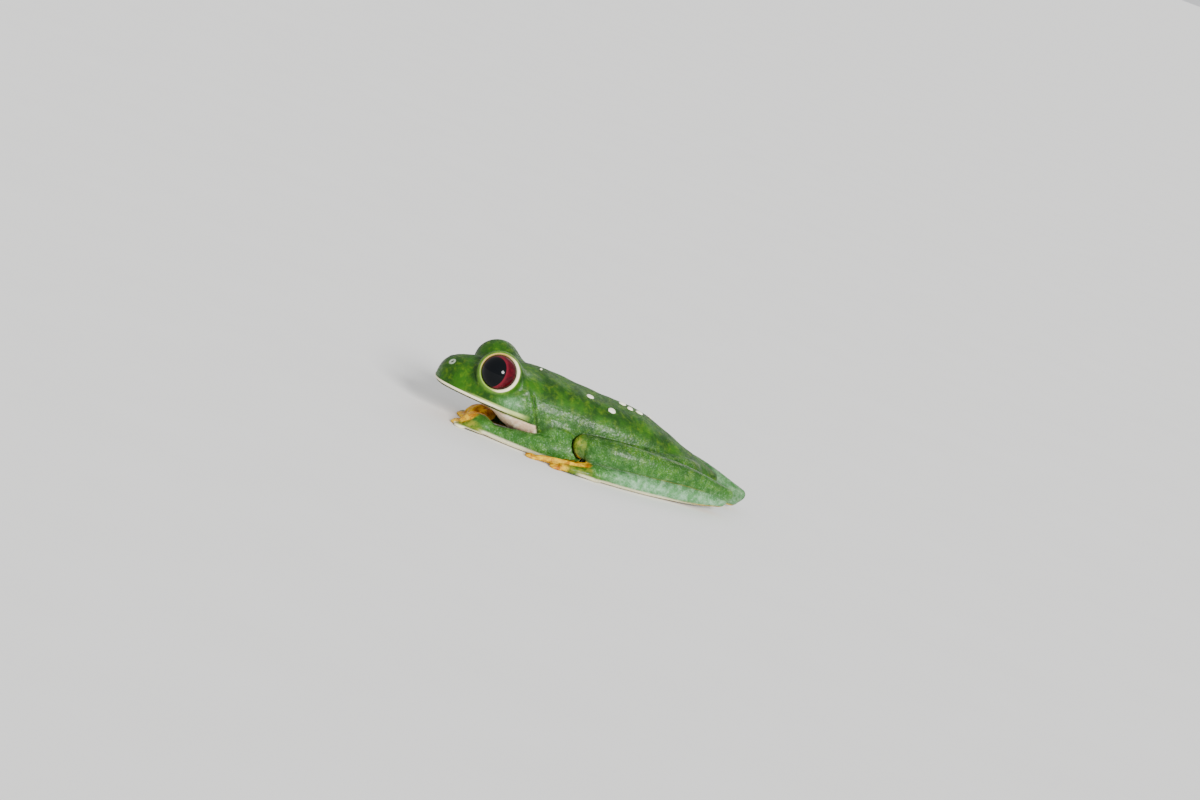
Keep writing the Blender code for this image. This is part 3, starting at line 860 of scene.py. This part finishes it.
def simple_mesh(name, shape, **sizes):
    """A mesh made by one of bmesh's own shapes."""
    bm = bmesh.new()
    shape(bm, **sizes)
    mesh = bpy.data.meshes.new(name)
    bm.to_mesh(mesh)
    bm.free()
    return mesh


def srgb(red, green, blue):
    """A colour given as 0 to 255 on a screen, as the linear values that shaders take."""
    parts = [value / 255 for value in (red, green, blue)]
    return (*[p / 12.92 if p <= 0.04045 else ((p + 0.055) / 1.055) ** 2.4 for p in parts], 1.0)


class Shader:
    """A node material with a Principled BSDF, and a short way of adding nodes to it."""

    def __init__(self, name):
        self.material = bpy.data.materials.new(name)
        self.material.use_nodes = True
        self.tree = self.material.node_tree
        self.principled = self.tree.nodes["Principled BSDF"]
        self.place = self.add("TexCoord").node.outputs["Object"]

    def put(self, value, socket):
        """Sets a socket, or links it to another node's output or to the zone of this name."""
        if isinstance(value, str):
            value = self.zone(value)
        if isinstance(value, bpy.types.NodeSocket):
            self.tree.links.new(value, socket)
        else:
            socket.default_value = value

    def add(self, kind, inputs=None, **settings):
        """A node of this kind with these settings and inputs; returns its first output."""
        made = self.tree.nodes.new("ShaderNode" + kind)
        for key, value in settings.items():
            setattr(made, key, value)
        for key, value in (inputs or {}).items():
            self.put(value, made.inputs[key])
        return made.outputs[0]

    def finish(self, **inputs):
        """Sets the Principled BSDF's inputs, whose names are written with _ for a space."""
        for key, value in inputs.items():
            self.put(value, self.principled.inputs[key.replace("_", " ")])
        return self.material

    def zone(self, name):
        """The values of one of the mesh's zones."""
        return self.add("Attribute", attribute_name=name).node.outputs["Fac"]

    def maths(self, operation, *values):
        return self.add("Math", dict(enumerate(values)), operation=operation)

    def vectors(self, operation, *values):
        return self.add("VectorMath", dict(enumerate(values)), operation=operation)

    def plus(self, first, second):
        return self.maths("ADD", first, second)

    def times(self, first, second):
        return self.maths("MULTIPLY", first, second)

    def ramp(self, value, *stops):
        """A smooth change between values: pairs of place and value or colour."""
        made = self.add("ValToRGB", {"Fac": value}).node
        made.color_ramp.interpolation = "EASE"
        elements = made.color_ramp.elements
        while len(elements) < len(stops):
            elements.new(0.5)
        for element, (place, shade) in zip(elements, stops):
            element.position = place
            element.color = shade if isinstance(shade, tuple) else (shade, shade, shade, 1.0)
        return made.outputs["Color"]

    def mix(self, part, first, second, blend="MIX"):
        """Two colours mixed."""
        made = self.add("Mix", data_type="RGBA", blend_type=blend).node
        self.put(part, made.inputs[0])
        self.put(first, made.inputs[6])
        self.put(second, made.inputs[7])
        return made.outputs[2]

    def blend(self, value, span, first, second):
        """Two colours mixed: the first where the value is below the span, the second above it."""
        return self.mix(self.ramp(value, (span[0], 0.0), (span[1], 1.0)), first, second)

    def noise(self, period, detail=2.0, roughness=0.5, distortion=0.0):
        """Cloudy noise whose lumps are about `period` metres apart."""
        inputs = {"Vector": self.place, "Scale": 1 / period, "Detail": detail}
        return self.add("TexNoise", {**inputs, "Roughness": roughness, "Distortion": distortion})

    def cells(self, period):
        """Distance from the middles of rounded cells that are about `period` metres apart."""
        inputs = {"Vector": self.place, "Scale": 1 / period, "Smoothness": 0.6}
        return self.add("TexVoronoi", inputs, feature="SMOOTH_F1")


# ---- eyes

PUPIL_FORWARD = 22.0  # degrees
PUPIL_UP = 12.0
PUPIL_SIZE = (2.05, 2.65)  # half width and half height in mm
PUPIL = srgb(4, 6, 9)
IRIS_REDS = (srgb(50, 1, 10), srgb(76, 3, 17))
INNER_IRIS = srgb(128, 30, 46)
# Painted shade for the front of the iris.
IRIS_FRONT_SHADE = srgb(22, 2, 6)
IRIS_EDGE = srgb(10, 2, 4)


def eyeball(name, node, side):
    """A smooth eyeball in place of a CAD one."""
    low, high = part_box(node)
    _, up, back, out = eye_axes(side)
    turn = Matrix((back * side, up, out)).transposed().to_4x4()
    sphere = bmesh.ops.create_uvsphere
    mesh = simple_mesh(name, sphere, u_segments=96, v_segments=64, radius=EYE_RADIUS * MM)
    mesh.shade_smooth()
    made = add_object(name, mesh)
    made.matrix_world = Matrix.Translation((low + high) / 2) @ turn
    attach(made, "root")
    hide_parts(node)
    return made


def eye_material(side):
    """A dark red iris with an upright black pupil under a wet cornea, with painted shade darkening the
    iris's front.
    """
    eye = Shader("eye")
    mm = eye.vectors("MULTIPLY", eye.place, (1 / MM,) * 3)
    pupil_at = (
        -side * EYE_RADIUS * math.sin(math.radians(PUPIL_FORWARD - GAZE_FORWARD)),
        EYE_RADIUS * math.sin(math.radians(PUPIL_UP - GAZE_UP)),
        0.0,
    )
    from_pupil = eye.vectors("SUBTRACT", mm, pupil_at)
    from_pupil = eye.vectors("MULTIPLY", from_pupil, (1 / PUPIL_SIZE[0], 1 / PUPIL_SIZE[1], 0.0))
    ring = eye.vectors("LENGTH", from_pupil).node.outputs["Value"]
    flat = eye.vectors("MULTIPLY", mm, (1 / EYE_RADIUS, 1 / EYE_RADIUS, 0.0))
    rim = eye.vectors("LENGTH", flat).node.outputs["Value"]

    fibres = eye.noise(0.0009, detail=4.0, roughness=0.65, distortion=0.6)
    iris = eye.blend(fibres, (0.35, 0.65), *IRIS_REDS)
    near_pupil = eye.ramp(eye.maths("SUBTRACT", ring, 0.5), (0.52, 1.0), (0.78, 0.0))
    iris = eye.mix(eye.times(near_pupil, 0.45), iris, INNER_IRIS)
    # Painted shade: the iris darker towards the front of the eye.
    back_way = eye.add("SeparateXYZ", {0: flat}).node.outputs["X"]
    front = eye.ramp(eye.plus(eye.times(back_way, 0.5 * side), 0.5), (0.2, 1.0), (0.5, 0.0))
    iris = eye.mix(eye.times(front, 0.85), iris, IRIS_FRONT_SHADE)
    iris = eye.mix(eye.ramp(rim, (0.82, 0.0), (0.92, 1.0)), iris, IRIS_EDGE)
    colour = eye.blend(ring, (0.97, 1.06), PUPIL, iris)
    return eye.finish(Base_Color=colour, Roughness=0.09, IOR=1.36, Specular_IOR_Level=0.25)


# ---- colours of the skin

# A pair is mottled from one colour to the other.
GREENS = (srgb(18, 55, 0), srgb(38, 86, 0))
YELLOW_GREEN = srgb(98, 128, 4)
PALE_AND_SHEEN_GREENS = (srgb(40, 92, 22), srgb(72, 122, 50))
BLUISH_AND_SHEEN_GREENS = (srgb(70, 124, 70), srgb(128, 168, 134))
# Painted highlight of the flecks on wet skin.
SPARKLE_HIGHLIGHT = srgb(160, 192, 160)
LIMES = (srgb(70, 108, 8), srgb(160, 156, 50))
ORANGES = (srgb(156, 90, 2), srgb(226, 184, 16))
VIOLET_AND_BARS = (srgb(44, 50, 120), srgb(226, 214, 160))
CREAMS = (srgb(214, 204, 160), srgb(236, 230, 200))
PINKS = (srgb(206, 172, 140), srgb(228, 208, 184))
LIP = srgb(236, 226, 190)
LIP_BAND = srgb(188, 200, 116)
# Painted shade for the slit of the mouth.
MOUTH_SLIT_SHADE = srgb(58, 52, 14)
FRONT_LIDS = (srgb(128, 158, 60), srgb(186, 156, 80))
REAR_LIDS = (srgb(214, 200, 120), srgb(234, 224, 186))
LID_HALO = srgb(118, 156, 52)
NOSTRIL_RING = srgb(178, 188, 168)
# Painted shade for the inside of the nostrils.
NOSTRIL_PIT_SHADE = srgb(14, 18, 8)
SPOT_WHITES = (srgb(232, 226, 196), srgb(248, 246, 228))
# Painted shade for the creases.
PAINTED_CREASE_SHADE = srgb(10, 24, 4)


class SkinShader(Shader):
    """The skin's material: its noises, from the largest to the smallest, and its colour so far."""

    def __init__(self):
        super().__init__("skin")
        self.cloud = self.noise(0.0032, detail=4.0, roughness=0.62)
        self.mottle = self.noise(0.0011, detail=5.0, roughness=0.68, distortion=0.3)
        self.fine = self.noise(0.00042, detail=3.0, roughness=0.6)
        self.cell = self.cells(0.00042)
        self.specks = self.noise(0.00022, detail=2.0, roughness=0.7)
        self.colour = self.blend(self.cloud, (0.35, 0.68), *GREENS)

    def lay(self, part, colour, blend="MIX"):
        """Lays a colour over the ones before it."""
        self.colour = self.mix(part, self.colour, colour, blend)


def lay_greens(skin):
    """Full green on the back, paler and bluish on the limbs, partly as painted highlight, and painted
    highlight flecks where the skin is wet.
    """
    cloud, mottle = skin.cloud, skin.mottle
    lively = skin.times(skin.ramp(mottle, (0.45, 0.0), (0.75, 1.0)), 0.45)
    skin.lay(lively, YELLOW_GREEN)
    pale = skin.blend(mottle, (0.35, 0.68), *PALE_AND_SHEEN_GREENS)
    bluish = skin.blend(mottle, (0.35, 0.68), *BLUISH_AND_SHEEN_GREENS)
    # Paler, bluish greens: partly the limbs' own colour and partly painted highlight.
    skin.lay("pale", skin.mix("blue", pale, bluish))
    # Painted highlights: light flecks where the skin is wet.
    drops = skin.ramp(skin.specks, (0.48, 0.0), (0.74, 1.0))
    patches = skin.ramp(skin.plus(mottle, skin.times(cloud, 0.5)), (0.6, 0.4), (0.9, 1.0))
    painted_sparkle = skin.times(skin.times(drops, patches), "wet")
    skin.lay(skin.times(painted_sparkle, 0.5), SPARKLE_HIGHLIGHT)


def lay_limbs_and_flank(skin):
    """Lime knees and outer digits, orange inner digits, and the barred violet flank."""
    mottle = skin.mottle
    skin.lay(skin.times("lime", 0.75), skin.blend(mottle, (0.35, 0.65), *LIMES))
    skin.lay("orange", skin.blend(mottle, (0.36, 0.64), *ORANGES))
    inputs = {"Vector": skin.place, "Scale": 120.0, "Distortion": 2.0, "Detail": 2.0, "Detail Scale": 1.5}
    bars = skin.add("TexWave", inputs, bands_direction="Y")
    skin.lay("flank", skin.blend(bars, (0.62, 0.75), *VIOLET_AND_BARS))


def lay_underside(skin):
    """The cream belly and limb edges, and the pink throat."""
    skin.lay("cream", skin.mix(skin.fine, *CREAMS))
    skin.lay("throat", skin.blend(skin.mottle, (0.4, 0.65), *PINKS))


def lay_mouth(skin):
    """The cream lip, which turns into a wider pale band at the back, and painted shade along the slit
    under it.
    """
    above = skin.zone("above_lip")
    along = skin.times("along", 1 / LIP_SCALE)
    lip = skin.ramp(above, (0.08, 0.0), (0.16, 1.0), (0.5, 1.0), (0.66, 0.0))
    lip_part = skin.ramp(along, (0.5, 1.0), (0.72, 0.0))
    band = skin.ramp(above, (0.02, 0.0), (0.1, 1.0), (0.7, 1.0), (1.0, 0.0))
    band_part = skin.ramp(along, (0.2, 0.0), (0.55, 1.0), (0.74, 1.0), (0.87, 0.0))
    slit = skin.ramp(skin.maths("ABSOLUTE", above), (0.04, 1.0), (0.16, 0.0))
    slit_part = skin.ramp(along, (0.8, 1.0), (0.87, 0.0))
    skin.lay(skin.times(skin.times(band, band_part), 0.8), LIP_BAND)
    skin.lay(skin.times(lip, lip_part), LIP)
    # Painted shade along the slit of the mouth.
    skin.lay(skin.times(slit, slit_part), MOUTH_SLIT_SHADE)


def lay_lids(skin):
    """The pale ring round the eye, widest behind it, in a halo of yellowish green."""
    rim = skin.zone("rim")
    lid_up = skin.zone("lid_up")
    rear = skin.maths("SUBTRACT", "lid_back", skin.times(lid_up, 0.15))
    rear = skin.plus(skin.times(rear, 0.5), 0.5)
    width = skin.ramp(rear, (0.0, 0.14), (0.5, 0.2), (0.85, 0.42), (1.0, 0.5))
    ring = skin.ramp(skin.maths("SUBTRACT", rim, width), (0.0, 1.0), (0.12, 0.0))
    front_lid = skin.blend(skin.plus(skin.times(lid_up, 0.5), 0.5), (0.3, 0.7), *FRONT_LIDS)
    rear_lid = skin.ramp(rear, (0.45, REAR_LIDS[0]), (0.9, REAR_LIDS[1]))
    skin.lay(ring, skin.blend(rear, (0.42, 0.78), front_lid, rear_lid))
    halo_part = skin.ramp(rear, (0.45, 0.3), (0.85, 0.62))
    halo_reach = skin.plus(rim, skin.ramp(rear, (0.45, 0.0), (0.85, -0.7)))
    halo = skin.times(skin.ramp(halo_reach, (0.3, 1.0), (1.0, 0.0)), halo_part)
    skin.lay(skin.times(halo, skin.maths("SUBTRACT", 1.0, ring)), LID_HALO)


def lay_nostrils(skin):
    """A pale ring round a pit that is darkened with painted shade."""
    nostril = skin.zone("nostril")
    ring = skin.ramp(nostril, (0.2, 0.0), (0.3, 1.0), (0.5, 1.0), (0.72, 0.0))
    skin.lay(skin.times(ring, 0.65), NOSTRIL_RING)
    # Painted shade inside the pit.
    skin.lay(skin.ramp(nostril, (0.2, 1.0), (0.3, 0.0)), NOSTRIL_PIT_SHADE)


def lay_spots(skin):
    """The white spots of the back, with uneven edges."""
    uneven = skin.times(skin.maths("SUBTRACT", skin.fine, 0.5), 0.3)
    spot = skin.ramp(skin.plus("spot", uneven), (0.86, 1.0), (0.98, 0.0))
    skin.lay(spot, skin.mix(skin.fine, *SPOT_WHITES))


def skin_material():
    """Moist green skin with its markings, painted highlights and painted shade, which the zones of the
    mesh place.
    """
    skin = SkinShader()
    lay_greens(skin)
    lay_limbs_and_flank(skin)
    lay_underside(skin)
    lay_mouth(skin)
    lay_lids(skin)
    lay_nostrils(skin)
    lay_spots(skin)
    # Painted shade: the skin's colour darkened deep in its creases and hollows.
    deep = skin.ramp("hollow", (0.15, 0.0), (0.9, 1.0))
    skin.lay(skin.times(deep, 0.7), PAINTED_CREASE_SHADE, blend="MULTIPLY")
    rough = skin.ramp(skin.cell, (0.2, 0.34), (0.6, 0.56))
    rough = skin.mix(skin.times("back", 0.5), rough, (0.8, 0.8, 0.8, 1.0))
    height = skin.plus(skin.times(skin.cell, -0.8), skin.times(skin.fine, 0.5))
    return skin.finish(
        Base_Color=skin.colour,
        Roughness=rough,
        Normal=skin.add("Bump", {"Strength": 0.5, "Distance": 0.00006, "Height": height}),
        IOR=1.4,
        Specular_IOR_Level=0.28,
        Coat_Weight=0.06,
        Coat_Roughness=0.2,
        Subsurface_Weight=0.06,
        Subsurface_Radius=(0.0006, 0.0008, 0.0003),
        Subsurface_Scale=1.0,
    )


# ---- floor, lights and camera

AIM = (0.0, 28.6, 11.4)  # mm: the point in the middle of the picture
CAMERA_YAW = 8.0  # degrees forward of the frog's left side
CAMERA_TILT = 10.0  # degrees above the floor, looking down
CAMERA_ROLL = 20.5
CAMERA_DISTANCE = 0.578
LENS = 100.0
FLOOR_RADIUS = 40.0  # metres
FLOOR_GREYS = (srgb(232, 231, 228), srgb(237, 236, 234))
SKY = srgb(232, 233, 235)
KEY_DIRECTION = (0.436, 0.082, 0.897)  # right, up and towards the camera, as the camera sees them
KEY_LIGHT = (17.0, 5.6)  # how wide it looks in degrees, and its watts per square metre
REAR_DIRECTION = (-1.0, 0.5, 0.7)
REAR_LIGHT = (33.0, 0.48)


def camera_axes():
    """The camera's directions: right, up and back."""
    yaw, tilt, roll = (math.radians(a) for a in (CAMERA_YAW, CAMERA_TILT, CAMERA_ROLL))
    level = math.cos(tilt)
    back = Vector((level * math.cos(yaw), -level * math.sin(yaw), math.sin(tilt)))
    right = Vector((0, 0, 1)).cross(back).normalized()
    up = back.cross(right)
    turned = math.cos(roll) * right + math.sin(roll) * up
    return turned, back.cross(turned), back


def add_camera():
    right, up, back = camera_axes()
    data = bpy.data.cameras.new("camera")
    data.lens = LENS
    data.clip_start = 0.01
    camera = add_object("camera", data)
    aim = Vector(to_frame(np.array(AIM)))
    turn = Matrix((right, up, back)).transposed().to_4x4()
    camera.matrix_world = Matrix.Translation(aim + back * CAMERA_DISTANCE) @ turn
    bpy.context.scene.camera = camera


def add_light(name, direction, spread, strength):
    """A soft, even light: how wide it looks in degrees, and its strength in watts per square metre."""
    data = bpy.data.lights.new(name, "SUN")
    data.angle = math.radians(spread)
    data.energy = strength
    light = add_object(name, data)
    light.location = direction.normalized()
    light.rotation_mode = "QUATERNION"
    light.rotation_quaternion = light.location.to_track_quat("Z", "Y")


def add_floor():
    """A wide pale floor."""
    circle = bmesh.ops.create_circle
    mesh = simple_mesh("floor", circle, cap_ends=True, segments=96, radius=FLOOR_RADIUS)
    floor = add_object("floor", mesh)
    shade = Shader("floor")
    colour = shade.mix(shade.noise(0.02, detail=3.0), *FLOOR_GREYS)
    floor.data.materials.append(shade.finish(Base_Color=colour, Roughness=0.9, Specular_IOR_Level=0.1))


def add_stage():
    add_floor()
    key_direction = sum((part * axis for part, axis in zip(KEY_DIRECTION, camera_axes())), Vector())
    add_light("key", key_direction, *KEY_LIGHT)
    add_light("rear", Vector(REAR_DIRECTION), *REAR_LIGHT)
    world = bpy.data.worlds.new("world")
    world.use_nodes = True
    background = world.node_tree.nodes["Background"]
    background.inputs["Color"].default_value = SKY
    background.inputs["Strength"].default_value = 1.0
    bpy.context.scene.world = world


def add_skin():
    """The skin over every node of flesh."""
    field, parts = frog_field()
    points, quads = surface(field)
    mesh = bpy.data.meshes.new("skin")
    mesh.from_pydata(points, [], quads, shade_flat=False)
    mesh.validate()
    skin = add_object("skin", mesh)
    normals = np.empty(len(points) * 3, np.float32)
    mesh.vertices.foreach_get("normal", normals)
    at = Places(points.astype(float), normals.reshape(-1, 3), parts)
    zones = skin_zones(at, field)
    mesh.vertices.foreach_set("co", to_frame(raised(at, zones)).astype(np.float32).ravel())
    mesh.update()
    for name, values in zones.items():
        attribute = mesh.attributes.new(name, "FLOAT", "POINT")
        attribute.data.foreach_set("value", values.astype(np.float32))
    mesh.materials.append(skin_material())
    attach(skin, "root")
    flesh = [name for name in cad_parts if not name.startswith("eye")]
    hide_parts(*flesh)


add_stage()
add_camera()
add_skin()
for node, side in (("eye_left", 1), ("eye_right", -1)):
    eyeball(node.replace("eye", "eyeball"), node, side).data.materials.append(eye_material(side))

bpy.context.view_layer.update()
